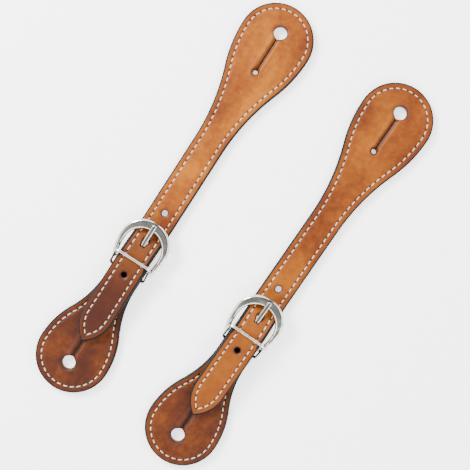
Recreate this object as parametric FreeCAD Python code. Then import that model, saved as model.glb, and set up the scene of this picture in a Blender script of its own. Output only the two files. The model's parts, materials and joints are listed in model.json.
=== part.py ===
import FreeCAD, Part
import math
import os

from FreeCAD import Vector

# A pair of western spur straps, buckled and lying face up side by side, in millimetres.
# Each strap is drawn in its own frame: X across the strap, Y along it from the buckle bar
# towards the far end of the long strap, Z up from the surface that it lies on.

# Leather
STRAP_WIDTH = 19.0
NECK_WIDTH = 19.8
END_RADIUS = 22.3
TOP_THICKNESS = 2.2
LINING_THICKNESS = 1.8
STRAP_THICKNESS = TOP_THICKNESS + LINING_THICKNESS
EDGE_ROUND = 1.1

# Long strap in plan: far end, flank, straight part and gothic tip
LONG_END = 176.7
LONG_FLANK_START = LONG_END - END_RADIUS
LONG_FLANK_LENGTH = 72.0
LONG_CONVEX_RADIUS = 80.0
TIP_ARC_START = -34.9
TIP_ARC_RADIUS = 20.9
TIP_ROUND = 1.5

# Long strap from the side: it lies flat, climbs through the buckle, and its tail comes
# down again over the short strap. Points of its underside are (y, z, bend radius).
BAND_OVERRUN = 4.0
TAIL_START = (-58.0, 4.15, 0.0)
HUMP = (7.3, 7.47, 15.0)
FOOT_OF_CLIMB = (23.4, 0.0, 40.0)

# Short strap in plan and from the side
SHORT_END = -84.8
SHORT_FLANK_START = SHORT_END + END_RADIUS
SHORT_FLANK_LENGTH = 50.0
SHORT_CONVEX_RADIUS = 50.0
RAMP_START = -40.0
RAMP_BEND = 60.0
LINING_FRONT = -10.0
SKIVE_END = -37.0

# Fold of the short strap round the bar
FOLD_THICKNESS = 1.65
FOLD_BORE = 1.7
FOLD_OUTER = FOLD_BORE + FOLD_THICKNESS
FOLD_SLOT_WIDTH = 4.0
FOLD_SLOT_BACK = -4.4
BAR_HEIGHT = FOLD_OUTER

# Holes
BUTTON_HOLE = 7.9
SLIT_END_HOLE = 3.0
SLIT_LENGTH = 27.0
SLIT_WIDTH = 0.5
BUTTON_HOLE_INSET = 17.0
ADJUSTING_HOLE = 3.6
ADJUSTING_PITCH = 21.0
TONGUE_HOLE_Y = 14.2

# Stitching
STITCH_MARGIN = 3.1
STITCH_WIDTH = 1.0
GROOVE_DEPTH = 0.5
THREAD_BELOW_FACE = 0.1
STITCH_FRONT = -7.6
TACK_ROW = -14.4
TACK_WIDTH = 11.0

# Buckle
BAR_RADIUS = 1.5
FRAME_TILT = 13.0
FRAME_THICKNESS = 2.8
FRAME_OUTER_RADIUS = 15.4
FRAME_OUTER_CENTRE = 13.5
FRAME_INNER_RADIUS = 11.6
FRAME_INNER_CENTRE = 11.5
FRAME_FOOT_OUTER = 13.0
FRAME_FOOT_INNER = 10.4
FRAME_FOOT_BACK = -1.8
FRAME_EDGE_ROUND = 1.25
FOOT_ROUND = 1.0
NOTCH_WIDTH = 3.4
NOTCH_DEPTH = 0.5
SEAT_CLEARANCE = 0.4
SEAT_DEPTH = 0.8

# Tongue
TONGUE_ANGLE = 12.4
TONGUE_WIDTH = 2.6
TONGUE_THICKNESS = 1.5
TONGUE_BORE = 1.6
TONGUE_RING = 2.8
TONGUE_REACH = 27.6
TONGUE_TOP_ROUND = 0.6
TONGUE_TIP_ROUND = 1.2
TONGUE_PASSAGE_WIDTH = 3.4
TONGUE_PASSAGE_BELOW = 0.4
TONGUE_PASSAGE_ABOVE = 0.9
TONGUE_PASSAGE_END = 17.0

# Keeper loop
KEEPER_WIRE_RADIUS = 0.9
KEEPER_HALF_WIDTH = 11.7
KEEPER_LOWER_CORNER = 2.0
KEEPER_UPPER_CORNER = 3.2
KEEPER_LOWER_RUN = (-5.5, 3.12)
KEEPER_UPPER_RUN = (3.4, 12.45)

# Layout of the pair
PAIR_SPACING = 80.0
SPLAY = 0.97

TALL = 40.0


def add_line(edges, start, end):
    """Adds a straight edge, unless the two points are one."""
    if start.distanceToPoint(end) > 1e-6:
        edges.append(Part.LineSegment(start, end).toShape())


def corner_edges(corners):
    """Lines and tangent arcs through (y, z, radius) corners, in the YZ plane."""
    points = [Vector(0, y, z) for y, z, radius in corners]
    edges = []
    start = points[0]
    for index in range(1, len(corners) - 1):
        corner = points[index]
        back = (points[index - 1] - corner).normalize()
        ahead = (points[index + 1] - corner).normalize()
        radius = corners[index][2]
        if radius > 0:
            half_angle = back.getAngle(ahead) / 2
            reach = radius / math.tan(half_angle)
            inwards = (back + ahead).normalize()
            middle = corner + inwards * (radius / math.sin(half_angle) - radius)
            arc_start = corner + back * reach
            arc_end = corner + ahead * reach
            add_line(edges, start, arc_start)
            edges.append(Part.Arc(arc_start, middle, arc_end).toShape())
            start = arc_end
        else:
            add_line(edges, start, corner)
            start = corner
    add_line(edges, start, points[-1])
    return edges


def offset_corners(corners, distance):
    """The corners of a path that runs at a distance above a given one."""
    raised = []
    last = len(corners) - 1
    for index, (y, z, radius) in enumerate(corners):
        before = corners[max(index - 1, 0)]
        after = corners[min(index + 1, last)]
        angle_in = math.atan2(z - before[1], y - before[0]) if index > 0 else None
        angle_out = math.atan2(after[1] - z, after[0] - y) if index < last else angle_in
        angle_in = angle_out if angle_in is None else angle_in
        mean = (angle_in + angle_out) / 2
        stretch = distance / math.cos((angle_out - angle_in) / 2)
        new_radius = radius
        if radius > 0:
            new_radius = radius - math.copysign(distance, angle_out - angle_in)
        raised.append((y - stretch * math.sin(mean), z + stretch * math.cos(mean), new_radius))
    return raised


def lowered(corners, drop):
    """The same corners, a small way straight down."""
    return [(y, z - drop, radius) for y, z, radius in corners]


def band(lower, upper, half_width):
    """A solid between two paths in the YZ plane, as wide as twice half_width."""
    edges = corner_edges(lower) + corner_edges(upper)
    for low, high in ((lower[0], upper[0]), (lower[-1], upper[-1])):
        add_line(edges, Vector(0, low[0], low[1]), Vector(0, high[0], high[1]))
    face = Part.Face(Part.Wire(Part.__sortEdges__(edges)))
    face.translate(Vector(-half_width, 0, 0))
    return face.extrude(Vector(2 * half_width, 0, 0))


def prism(face, bottom=-TALL, top=TALL):
    """A plan face drawn at height 0, made a solid between two heights."""
    raised = face.copy()
    raised.translate(Vector(0, 0, bottom))
    return raised.extrude(Vector(0, 0, top - bottom))


def mirrored_face(right_edges):
    """A plan face from the edges of its right half."""
    edges = list(right_edges)
    for edge in right_edges:
        edges.append(edge.mirror(Vector(0, 0, 0), Vector(1, 0, 0)))
    return Part.Face(Part.Wire(Part.__sortEdges__(edges)))


def arc_about(centre, radius, angle_start, angle_end):
    """An arc in plan about a centre, its angles in radians from the X axis."""
    points = []
    for angle in (angle_start, (angle_start + angle_end) / 2, angle_end):
        points.append(centre + Vector(math.cos(angle), math.sin(angle), 0) * radius)
    return Part.Arc(*points).toShape()


def teardrop_edges(end_centre, towards_neck, flank_length, convex_radius, neck_half_width):
    """The rounded end of a strap and the flank that draws it in to the neck."""
    rise = END_RADIUS - neck_half_width
    turn = 2 * math.atan(rise / flank_length)
    radius_sum = (flank_length ** 2 + rise ** 2) / (2 * rise)
    concave_radius = radius_sum - convex_radius
    away = -towards_neck * math.pi / 2
    end_arc = arc_about(Vector(0, end_centre, 0), END_RADIUS, away, 0)
    convex_centre = Vector(END_RADIUS - convex_radius, end_centre, 0)
    convex_arc = arc_about(convex_centre, convex_radius, 0, towards_neck * turn)
    neck_y = end_centre + towards_neck * flank_length
    concave_centre = Vector(neck_half_width + concave_radius, neck_y, 0)
    facing = math.pi
    concave_arc = arc_about(concave_centre, concave_radius, facing + towards_neck * turn, facing)
    return [end_arc, convex_arc, concave_arc], neck_y


def long_strap_plan():
    half_width = STRAP_WIDTH / 2
    edges, neck_y = teardrop_edges(LONG_FLANK_START, -1, LONG_FLANK_LENGTH,
                                   LONG_CONVEX_RADIUS, half_width)
    shoulder = Vector(half_width, TIP_ARC_START, 0)
    edges.append(Part.LineSegment(Vector(half_width, neck_y, 0), shoulder).toShape())
    overhang = TIP_ARC_RADIUS - half_width
    reach = math.sqrt((TIP_ARC_RADIUS - TIP_ROUND) ** 2 - overhang ** 2)
    turn = math.atan2(reach, overhang)
    side_centre = Vector(-overhang, TIP_ARC_START, 0)
    edges.append(arc_about(side_centre, TIP_ARC_RADIUS, 0, -turn))
    round_centre = Vector(0, TIP_ARC_START - reach, 0)
    edges.append(arc_about(round_centre, TIP_ROUND, -turn, -math.pi / 2))
    return mirrored_face(edges)


def short_strap_plan(front):
    """Plan of the short strap, cut square across the neck at a given place."""
    half_width = NECK_WIDTH / 2
    edges, neck_y = teardrop_edges(SHORT_FLANK_START, 1, SHORT_FLANK_LENGTH,
                                   SHORT_CONVEX_RADIUS, half_width)
    neck_front = Vector(half_width, front, 0)
    edges.append(Part.LineSegment(Vector(half_width, neck_y, 0), neck_front).toShape())
    edges.append(Part.LineSegment(neck_front, Vector(0, front, 0)).toShape())
    return mirrored_face(edges)


def stitch_ring(plan):
    """The narrow closed strip of plan that a row of stitches follows."""
    outer = plan.makeOffset2D(-STITCH_MARGIN)
    inner = plan.makeOffset2D(-STITCH_MARGIN - STITCH_WIDTH)
    return outer.cut(inner)


def buttonhole(hole_y, towards_neck):
    """The spur button's hole, the slit that runs from it, and the slit's round end."""
    slit_end_y = hole_y + towards_neck * SLIT_LENGTH
    hole = Part.makeCylinder(BUTTON_HOLE / 2, TALL, Vector(0, hole_y, -TALL / 2))
    slit_end = Part.makeCylinder(SLIT_END_HOLE / 2, TALL, Vector(0, slit_end_y, -TALL / 2))
    slit_corner = Vector(-SLIT_WIDTH / 2, min(hole_y, slit_end_y), -TALL / 2)
    slit = Part.makeBox(SLIT_WIDTH, SLIT_LENGTH, TALL, slit_corner)
    return hole.fuse([slit, slit_end])


def round_rim(solid, radius, upward):
    """Rounds the outer rim of the faces that look up, or of those that look down."""
    counts = {}
    rim = {}
    for face in solid.Faces:
        low_u, high_u, low_v, high_v = face.ParameterRange
        normal = face.normalAt((low_u + high_u) / 2, (low_v + high_v) / 2)
        if normal.z * upward > 0.8:
            for edge in face.Edges:
                key = edge.hashCode()
                counts[key] = counts.get(key, 0) + 1
                rim[key] = edge
    edges = [edge for key, edge in rim.items() if counts[key] == 1]
    return solid.makeFillet(radius, edges)


def in_frame_plane(shape, angle=FRAME_TILT):
    """Tilts a shape drawn about the bar's axis and lifts it to the bar."""
    placed = shape.copy()
    placed.rotate(Vector(0, 0, 0), Vector(1, 0, 0), angle)
    placed.translate(Vector(0, 0, BAR_HEIGHT))
    return placed


def horseshoe_edges(centre_y, radius, foot_x):
    """Half of a buckle outline: the crown's quarter circle and the side down to the foot."""
    inset = radius - foot_x
    drop = centre_y - FRAME_FOOT_BACK
    side_radius = (drop ** 2 + inset ** 2) / (2 * inset)
    crown = arc_about(Vector(0, centre_y, 0), radius, math.pi / 2, 0)
    side_centre = Vector(radius - side_radius, centre_y, 0)
    side = arc_about(side_centre, side_radius, 0, -math.asin(drop / side_radius))
    return [crown, side]


def horseshoe_face(grow=0.0):
    outer = horseshoe_edges(FRAME_OUTER_CENTRE, FRAME_OUTER_RADIUS + grow,
                            FRAME_FOOT_OUTER + grow)
    inner = horseshoe_edges(FRAME_INNER_CENTRE, FRAME_INNER_RADIUS - grow,
                            FRAME_FOOT_INNER - grow)
    foot = Part.LineSegment(Vector(FRAME_FOOT_OUTER + grow, FRAME_FOOT_BACK, 0),
                            Vector(FRAME_FOOT_INNER - grow, FRAME_FOOT_BACK, 0)).toShape()
    right = Part.Wire(Part.__sortEdges__(outer + [foot] + inner))
    left = right.mirror(Vector(0, 0, 0), Vector(1, 0, 0))
    return Part.Face(Part.Wire(Part.__sortEdges__(right.Edges + left.Edges)))


def buckle_frame():
    half = FRAME_THICKNESS / 2
    frame = prism(horseshoe_face(), -half, half)
    foot_edges = []
    for edge in frame.Edges:
        upright = edge.BoundBox.ZLength > FRAME_THICKNESS * 0.9
        at_foot = edge.BoundBox.YMax < FRAME_FOOT_BACK + 0.1
        if upright and at_foot:
            foot_edges.append(edge)
    frame = frame.makeFillet(FOOT_ROUND, foot_edges)
    rims = [edge for edge in frame.Edges if edge.BoundBox.ZLength < 0.01]
    frame = frame.makeFillet(FRAME_EDGE_ROUND, rims)
    bar_length = FRAME_FOOT_INNER + FRAME_EDGE_ROUND
    bar = Part.makeCylinder(BAR_RADIUS, 2 * bar_length, Vector(-bar_length, 0, 0),
                            Vector(1, 0, 0))
    notch_length = FRAME_OUTER_CENTRE + FRAME_OUTER_RADIUS
    notch = Part.makeBox(NOTCH_WIDTH, notch_length, FRAME_THICKNESS,
                         Vector(-NOTCH_WIDTH / 2, FRAME_INNER_CENTRE, half - NOTCH_DEPTH))
    return in_frame_plane(frame.fuse(bar).cut(notch)).removeSplitter()


def tongue_arm(width, below, above, back, front):
    """A straight bar along the tongue, with extra depth below and above it."""
    bottom = TONGUE_RING - TONGUE_THICKNESS - below
    depth = TONGUE_THICKNESS + below + above
    return Part.makeBox(width, front - back, depth, Vector(-width / 2, back, bottom))


def buckle_tongue():
    arm = tongue_arm(TONGUE_WIDTH, 0, 0, 0, TONGUE_REACH)
    tip_edges = []
    for edge in arm.Edges:
        at_tip = edge.BoundBox.YMin > TONGUE_REACH - 0.1
        if at_tip and edge.BoundBox.ZLength > TONGUE_THICKNESS * 0.9:
            tip_edges.append(edge)
    arm = arm.makeFillet(TONGUE_TIP_ROUND, tip_edges)
    top_edges = [edge for edge in arm.Edges if edge.BoundBox.ZMin > TONGUE_RING - 0.01]
    arm = arm.makeFillet(TONGUE_TOP_ROUND, [edge for edge in top_edges
                                            if edge.BoundBox.YMax > 0.1])
    left_end = Vector(-TONGUE_WIDTH / 2, 0, 0)
    ring = Part.makeCylinder(TONGUE_RING, TONGUE_WIDTH, left_end, Vector(1, 0, 0))
    bore = Part.makeCylinder(TONGUE_BORE, TONGUE_WIDTH, left_end, Vector(1, 0, 0))
    return in_frame_plane(ring.fuse(arm).cut(bore), TONGUE_ANGLE).removeSplitter()


def tongue_passage():
    """The way that the slanting tongue needs through the leather, hole included."""
    passage = tongue_arm(TONGUE_PASSAGE_WIDTH, TONGUE_PASSAGE_BELOW, TONGUE_PASSAGE_ABOVE,
                         0, TONGUE_PASSAGE_END)
    slope = math.degrees(math.atan2(FOOT_OF_CLIMB[1] - HUMP[1], FOOT_OF_CLIMB[0] - HUMP[0]))
    hole = Part.makeCylinder(ADJUSTING_HOLE / 2, TALL, Vector(0, 0, -TALL / 2))
    hole.rotate(Vector(0, 0, 0), Vector(1, 0, 0), slope)
    climb = (TONGUE_HOLE_Y - HUMP[0]) * math.tan(math.radians(slope))
    hole_z = HUMP[1] + climb + STRAP_THICKNESS / math.cos(math.radians(slope))
    hole.translate(Vector(0, TONGUE_HOLE_Y, hole_z))
    return in_frame_plane(passage, TONGUE_ANGLE).fuse(hole)


def crown_seat():
    """Where the crown of the buckle presses the strap's edges down."""
    floor = -FRAME_THICKNESS / 2 - SEAT_DEPTH
    return in_frame_plane(prism(horseshoe_face(SEAT_CLEARANCE), floor, TALL))


def long_strap():
    """Top leather, lining and stitching of the long strap."""
    plan = long_strap_plan()
    underside = [TAIL_START, HUMP, FOOT_OF_CLIMB, (LONG_END + BAND_OVERRUN, 0.0, 0.0)]
    between = offset_corners(underside, LINING_THICKNESS)
    top = offset_corners(underside, STRAP_THICKNESS)
    column = prism(plan)
    leather = round_rim(band(between, top, TALL).common(column), EDGE_ROUND, 1)
    lining = round_rim(band(underside, between, TALL).common(column), EDGE_ROUND, -1)

    row = prism(stitch_ring(plan))
    top_groove = band(offset_corners(top, -GROOVE_DEPTH), offset_corners(top, 1), TALL)
    top_row = band(offset_corners(top, -GROOVE_DEPTH),
                   offset_corners(top, -THREAD_BELOW_FACE), TALL)
    low_groove = band(offset_corners(underside, -1),
                      offset_corners(underside, GROOVE_DEPTH), TALL)
    low_row = band(offset_corners(underside, THREAD_BELOW_FACE),
                   offset_corners(underside, GROOVE_DEPTH), TALL)
    thread = Part.makeCompound([row.common(top_row), row.common(low_row)])

    button_hole_y = LONG_END - BUTTON_HOLE_INSET
    cuts = [buttonhole(button_hole_y, -1), tongue_passage(), crown_seat()]
    for step in (-1, 1):
        hole_y = TONGUE_HOLE_Y + step * ADJUSTING_PITCH
        cuts.append(Part.makeCylinder(ADJUSTING_HOLE / 2, TALL, Vector(0, hole_y, -TALL / 2)))
    leather = leather.cut(cuts + [row.common(top_groove)])
    lining = lining.cut(cuts + [row.common(low_groove)])
    return {"leather": leather, "lining": lining, "thread": thread}


def tangent_angle(y, z, radius):
    """Slope of the line from a point up to the top of a circle round the bar."""
    away = -y
    rise = z - BAR_HEIGHT
    return math.asin(radius / math.hypot(away, rise)) - math.atan2(rise, away)


def fold_corners(y, z, radius):
    """Corners of a strap face that comes in at (y, z), rounds the bar and turns back."""
    angle = tangent_angle(y, z, radius)
    crest = z + (radius - y) * math.tan(angle)
    turn_back = BAR_HEIGHT - radius
    return [(radius, crest, radius), (radius, turn_back, radius), (0.0, turn_back, 0.0)], angle


def short_strap():
    """Top leather, lining, perimeter stitching and tack row of the short strap."""
    bend = (RAMP_START, STRAP_THICKNESS, RAMP_BEND)
    outer_fold, ramp = fold_corners(RAMP_START, STRAP_THICKNESS, FOLD_OUTER)
    climb = (LINING_FRONT - RAMP_START) * math.tan(ramp)
    lining_top = (LINING_FRONT, LINING_THICKNESS + climb, 0.0)
    lining_foot = (LINING_FRONT, climb, 0.0)
    inner_fold, pull = fold_corners(lining_top[0], lining_top[1], FOLD_BORE)

    back = SHORT_END - BAND_OVERRUN
    inner_bend = (RAMP_START, LINING_THICKNESS, RAMP_BEND)
    under_bend = (RAMP_START, 0.0, RAMP_BEND)
    skive_z = (SKIVE_END - RAMP_START) * math.tan(ramp)
    outer_face = [(back, STRAP_THICKNESS, 0.0), bend] + outer_fold + [(SKIVE_END, 0.0, 0.0)]
    inner_face = [(back, LINING_THICKNESS, 0.0), inner_bend, lining_top] + inner_fold
    inner_face += [lining_foot, (SKIVE_END, skive_z, 0.0)]
    plan = short_strap_plan(FOLD_OUTER + 1)
    column = prism(plan)
    leather = band(inner_face, outer_face, TALL).common(column)
    lining = band([(back, 0.0, 0.0), under_bend, lining_foot],
                  [(back, LINING_THICKNESS, 0.0), inner_bend, lining_top], TALL).common(column)

    row = prism(stitch_ring(short_strap_plan(STITCH_FRONT)))
    tack = Part.makeBox(TACK_WIDTH, STITCH_WIDTH, 2 * TALL,
                        Vector(-TACK_WIDTH / 2, TACK_ROW, -TALL))
    crest = (0.0, STRAP_THICKNESS - RAMP_START * math.tan(ramp), 0.0)
    top = [(back, STRAP_THICKNESS, 0.0), bend, crest]
    top_groove = band(lowered(top, GROOVE_DEPTH), lowered(top, -1), TALL)
    top_row = band(lowered(top, GROOVE_DEPTH), lowered(top, THREAD_BELOW_FACE), TALL)
    low_groove = Part.makeBox(2 * TALL, 3 * TALL, 1 + GROOVE_DEPTH, Vector(-TALL, -3 * TALL, -1))
    low_row = Part.makeBox(2 * TALL, 3 * TALL, GROOVE_DEPTH - THREAD_BELOW_FACE,
                           Vector(-TALL, -3 * TALL, THREAD_BELOW_FACE))
    thread = Part.makeCompound([row.common(top_row), row.common(low_row)])
    tack_thread = Part.makeCompound([tack.common(top_row), tack.common(low_row)])

    slot_half = FOLD_SLOT_WIDTH / 2
    slot_back = FOLD_SLOT_BACK + slot_half
    slot = Part.makeBox(FOLD_SLOT_WIDTH, TALL, TALL, Vector(-slot_half, slot_back, -TALL / 2))
    slot_end = Part.makeCylinder(slot_half, TALL, Vector(0, slot_back, -TALL / 2))
    button_hole_y = SHORT_END + BUTTON_HOLE_INSET
    grooves = [row.common(top_groove), row.common(low_groove),
               tack.common(top_groove), tack.common(low_groove)]
    hole = buttonhole(button_hole_y, 1)
    leather = leather.cut([hole, slot, slot_end] + grooves)
    lining = lining.cut([hole] + grooves)
    return {"leather": leather, "lining": lining, "thread": thread, "tack": tack_thread}


def keeper_loop():
    """A loop of round wire, drawn flat and then leaned over the strap."""
    lower_y, lower_z = KEEPER_LOWER_RUN
    upper_y, upper_z = KEEPER_UPPER_RUN
    height = math.hypot(upper_y - lower_y, upper_z - lower_z)
    lean = math.degrees(math.atan2(upper_z - lower_z, upper_y - lower_y))
    lower_side = KEEPER_HALF_WIDTH - KEEPER_LOWER_CORNER
    upper_side = KEEPER_HALF_WIDTH - KEEPER_UPPER_CORNER
    upper_start = height - KEEPER_UPPER_CORNER
    right = []
    add_line(right, Vector(0, 0, 0), Vector(lower_side, 0, 0))
    right.append(arc_about(Vector(lower_side, KEEPER_LOWER_CORNER, 0), KEEPER_LOWER_CORNER,
                           -math.pi / 2, 0))
    add_line(right, Vector(KEEPER_HALF_WIDTH, KEEPER_LOWER_CORNER, 0),
             Vector(KEEPER_HALF_WIDTH, upper_start, 0))
    right.append(arc_about(Vector(upper_side, upper_start, 0), KEEPER_UPPER_CORNER,
                           0, math.pi / 2))
    add_line(right, Vector(upper_side, height, 0), Vector(0, height, 0))
    path = Part.Wire(right)
    section = Part.Wire(Part.makeCircle(KEEPER_WIRE_RADIUS, Vector(0, 0, 0), Vector(1, 0, 0)))
    half = path.makePipeShell([section], True, False)
    loop = half.fuse(half.mirror(Vector(0, 0, 0), Vector(1, 0, 0))).removeSplitter()
    loop.rotate(Vector(0, 0, 0), Vector(1, 0, 0), lean)
    loop.translate(Vector(0, lower_y, lower_z))
    return loop


def strap_pieces():
    """Every piece of one buckled strap, in the strap's own frame."""
    long_pieces = long_strap()
    short_pieces = short_strap()
    return {
        "long_strap_leather": long_pieces["leather"],
        "long_strap_lining": long_pieces["lining"],
        "long_strap_thread": long_pieces["thread"],
        "short_strap_leather": short_pieces["leather"],
        "short_strap_lining": short_pieces["lining"],
        "short_strap_thread": short_pieces["thread"],
        "chape_tack": short_pieces["tack"],
        "buckle_frame": buckle_frame(),
        "buckle_tongue": buckle_tongue(),
        "keeper_loop": keeper_loop(),
    }


def place(shape, x, splay):
    """Puts a strap's middle at x on the row's X axis and turns it by its splay."""
    placed = shape.copy()
    placed.translate(Vector(0, -(LONG_END + SHORT_END) / 2, 0))
    placed.rotate(Vector(0, 0, 0), Vector(0, 0, 1), splay)
    placed.translate(Vector(x, 0, 0))
    return placed


os.makedirs("parts", exist_ok=True)
PIECES = strap_pieces()
for side, direction in (("left", -1), ("right", 1)):
    for name, shape in PIECES.items():
        placed = place(shape, direction * PAIR_SPACING / 2, -direction * SPLAY)
        placed.exportStep("parts/" + side + "_" + name + ".step")
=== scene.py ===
import json
import math

import bmesh
import bpy
from mathutils import Matrix, Vector, kdtree


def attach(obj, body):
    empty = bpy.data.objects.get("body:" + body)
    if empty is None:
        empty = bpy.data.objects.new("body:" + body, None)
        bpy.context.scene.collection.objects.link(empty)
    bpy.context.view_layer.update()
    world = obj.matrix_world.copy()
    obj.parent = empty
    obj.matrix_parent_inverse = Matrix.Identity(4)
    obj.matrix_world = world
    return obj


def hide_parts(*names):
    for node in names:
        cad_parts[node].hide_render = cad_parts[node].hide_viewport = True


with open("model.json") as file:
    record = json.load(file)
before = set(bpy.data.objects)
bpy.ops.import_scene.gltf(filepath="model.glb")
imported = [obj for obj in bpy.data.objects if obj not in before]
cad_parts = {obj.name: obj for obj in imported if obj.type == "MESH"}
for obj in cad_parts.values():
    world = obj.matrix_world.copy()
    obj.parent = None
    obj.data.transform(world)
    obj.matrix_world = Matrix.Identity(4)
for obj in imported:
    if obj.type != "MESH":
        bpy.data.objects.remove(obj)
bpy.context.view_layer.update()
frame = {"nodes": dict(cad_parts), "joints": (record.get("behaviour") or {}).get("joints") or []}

# Long straps: a top leather and a lining, cut together in one outline with a round end,
# punched, pressed and stitched. The top is tan russet leather, its edges dyed black and
# rubbed round; inside the buckle the black is painted wider, as shade. The strap climbs
# through the buckle, and its tail lies over the short strap.
TOP_THICKNESS = 2.2
LINING_THICKNESS = 1.8
STRAP_THICKNESS = TOP_THICKNESS + LINING_THICKNESS
STRAP_HALF_WIDTH = 9.5
END_RADIUS = 22.3
LONG_END = 176.7
LONG_FLANK_LENGTH = 72.0
LONG_CONVEX_RADIUS = 80.0
TIP_ARC_START = -34.9
TIP_ARC_RADIUS = 20.9
TIP_ROUND = 1.5
LONG_UNDERSIDE = ((-58.0, 4.15, 0.0), (7.3, 7.47, 15.0), (23.4, 0.0, 40.0), (181.0, 0.0, 0.0))
OUTLINE_STEP = 0.55
FINE_STEP = 0.25
PUNCH_STEP = 0.5
PUNCH_OVERRUN = 1.0
EDGE_ROUND = 1.25
SEAM_ROUND = 0.3
SEAM_GAP = 0.02
STITCH_INSET = 3.6
CHANNEL_DEPTH = 0.32
CHANNEL_HALF = 0.85
STITCH_PITCH = 3.92
AWL_DEPTH = 0.55
AWL_RADIUS = 0.62
BUTTON_HOLE_RADIUS = 3.95
SLIT_END_RADIUS = 1.5
SLIT_HALF = 0.25
KNIFE_CUT_HALF = 0.03
SLIT_LENGTH = 27.0
BUTTON_HOLE_INSET = 17.0
ADJUSTING_HOLE_RADIUS = 1.8
ADJUSTING_HOLES = (-6.8, 14.2, 35.2)
PUNCH_SEGMENTS = 40
EDGE_COLUMNS = (0.0, 0.1, 0.25, 0.45, 0.7, 1.0, 1.35, 1.8, 2.3, 2.75, 3.05, 3.3, 3.6, 3.9,
                4.15, 4.45, 4.9)
CENTRE_COLUMNS = (0.0, 0.45, 0.8, 1.15, 1.6, 2.1, 2.7, 3.4, 4.2)
MIDDLE_COLUMNS = 7
NARROWEST_FULL_GRID = 9.4
PATH_SAMPLES = 4000
UNBEND_STEPS = 12
SHORTEST_RUN = 1e-6
TINY = 1e-9


# Where each strap lies. Sizes are in millimetres, in the strap's own frame: X across, Y along
# it from the buckle bar to the far end of the long strap, Z up from the surface.
SIDES = ("left", "right")
MILLIMETRE = 0.001
joint_of = {joint["name"]: joint for joint in frame["joints"]}


def strap_place(side):
    """The transform from a strap's own millimetres to its place in the row, in metres."""
    along = Vector(joint_of[side + "_draw"]["axis"])
    bar = Vector(joint_of[side + "_tongue_lift"]["pos_m"])
    across = along.cross(Vector((0, 0, 1)))
    turn = Matrix((across, along, (0, 0, 1))).transposed().to_4x4()
    return Matrix.Translation((bar.x, bar.y, 0)) @ turn @ Matrix.Scale(MILLIMETRE, 4)


def show(bm, name, side, body, node, slot, material):
    """Puts a finished mesh in its place, hangs it on the body that it rides on, and hides the
    part that it stands for.
    """
    mesh = bpy.data.meshes.new(side + "_" + name)
    bm.to_mesh(mesh)
    bm.free()
    mesh.transform(strap_place(side))
    mesh.shade_smooth()
    piece = bpy.data.objects.new(side + "_" + name, mesh)
    bpy.context.scene.collection.objects.link(piece)
    piece.data.materials.append(material)
    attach(piece, side + "_" + body)
    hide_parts(side + "_" + node)


def arc_points(centre, radius, start, end, step=OUTLINE_STEP):
    """Points along an arc in plan, its angles in radians, without its last point."""
    count = max(2, math.ceil(abs(end - start) * radius / step))
    points = []
    for index in range(count):
        angle = start + (end - start) * index / count
        points.append(Vector((centre[0] + radius * math.cos(angle),
                              centre[1] + radius * math.sin(angle))))
    return points


def line_points(start, end, step=OUTLINE_STEP):
    """Points along a straight edge in plan, without its last point."""
    start, end = Vector(start), Vector(end)
    count = max(1, math.ceil((end - start).length / step))
    return [start.lerp(end, index / count) for index in range(count)]


def teardrop_points(centre_y, towards_neck, flank_length, convex_radius, neck_half):
    """Right-hand edge of a strap's round end and the flank that draws it in to the neck."""
    rise = END_RADIUS - neck_half
    turn = 2 * math.atan(rise / flank_length)
    concave_radius = (flank_length ** 2 + rise ** 2) / (2 * rise) - convex_radius
    neck_y = centre_y + towards_neck * flank_length
    points = arc_points((0, centre_y), END_RADIUS, -towards_neck * math.pi / 2, 0)
    points += arc_points((END_RADIUS - convex_radius, centre_y), convex_radius,
                         0, towards_neck * turn)
    points += arc_points((neck_half + concave_radius, neck_y), concave_radius,
                         math.pi + towards_neck * turn, math.pi)
    return points, neck_y


def long_edge():
    """The long strap's right-hand edge, from its far end to its tip."""
    points, neck_y = teardrop_points(LONG_END - END_RADIUS, -1, LONG_FLANK_LENGTH,
                                     LONG_CONVEX_RADIUS, STRAP_HALF_WIDTH)
    points += line_points((STRAP_HALF_WIDTH, neck_y), (STRAP_HALF_WIDTH, TIP_ARC_START))
    overhang = TIP_ARC_RADIUS - STRAP_HALF_WIDTH
    reach = math.sqrt((TIP_ARC_RADIUS - TIP_ROUND) ** 2 - overhang ** 2)
    turn = math.atan2(reach, overhang)
    points += arc_points((-overhang, TIP_ARC_START), TIP_ARC_RADIUS, 0, -turn)
    points += arc_points((0, TIP_ARC_START - reach), TIP_ROUND, -turn, -math.pi / 2, FINE_STEP)
    points.append(Vector((0, TIP_ARC_START - reach - TIP_ROUND)))
    return points


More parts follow.
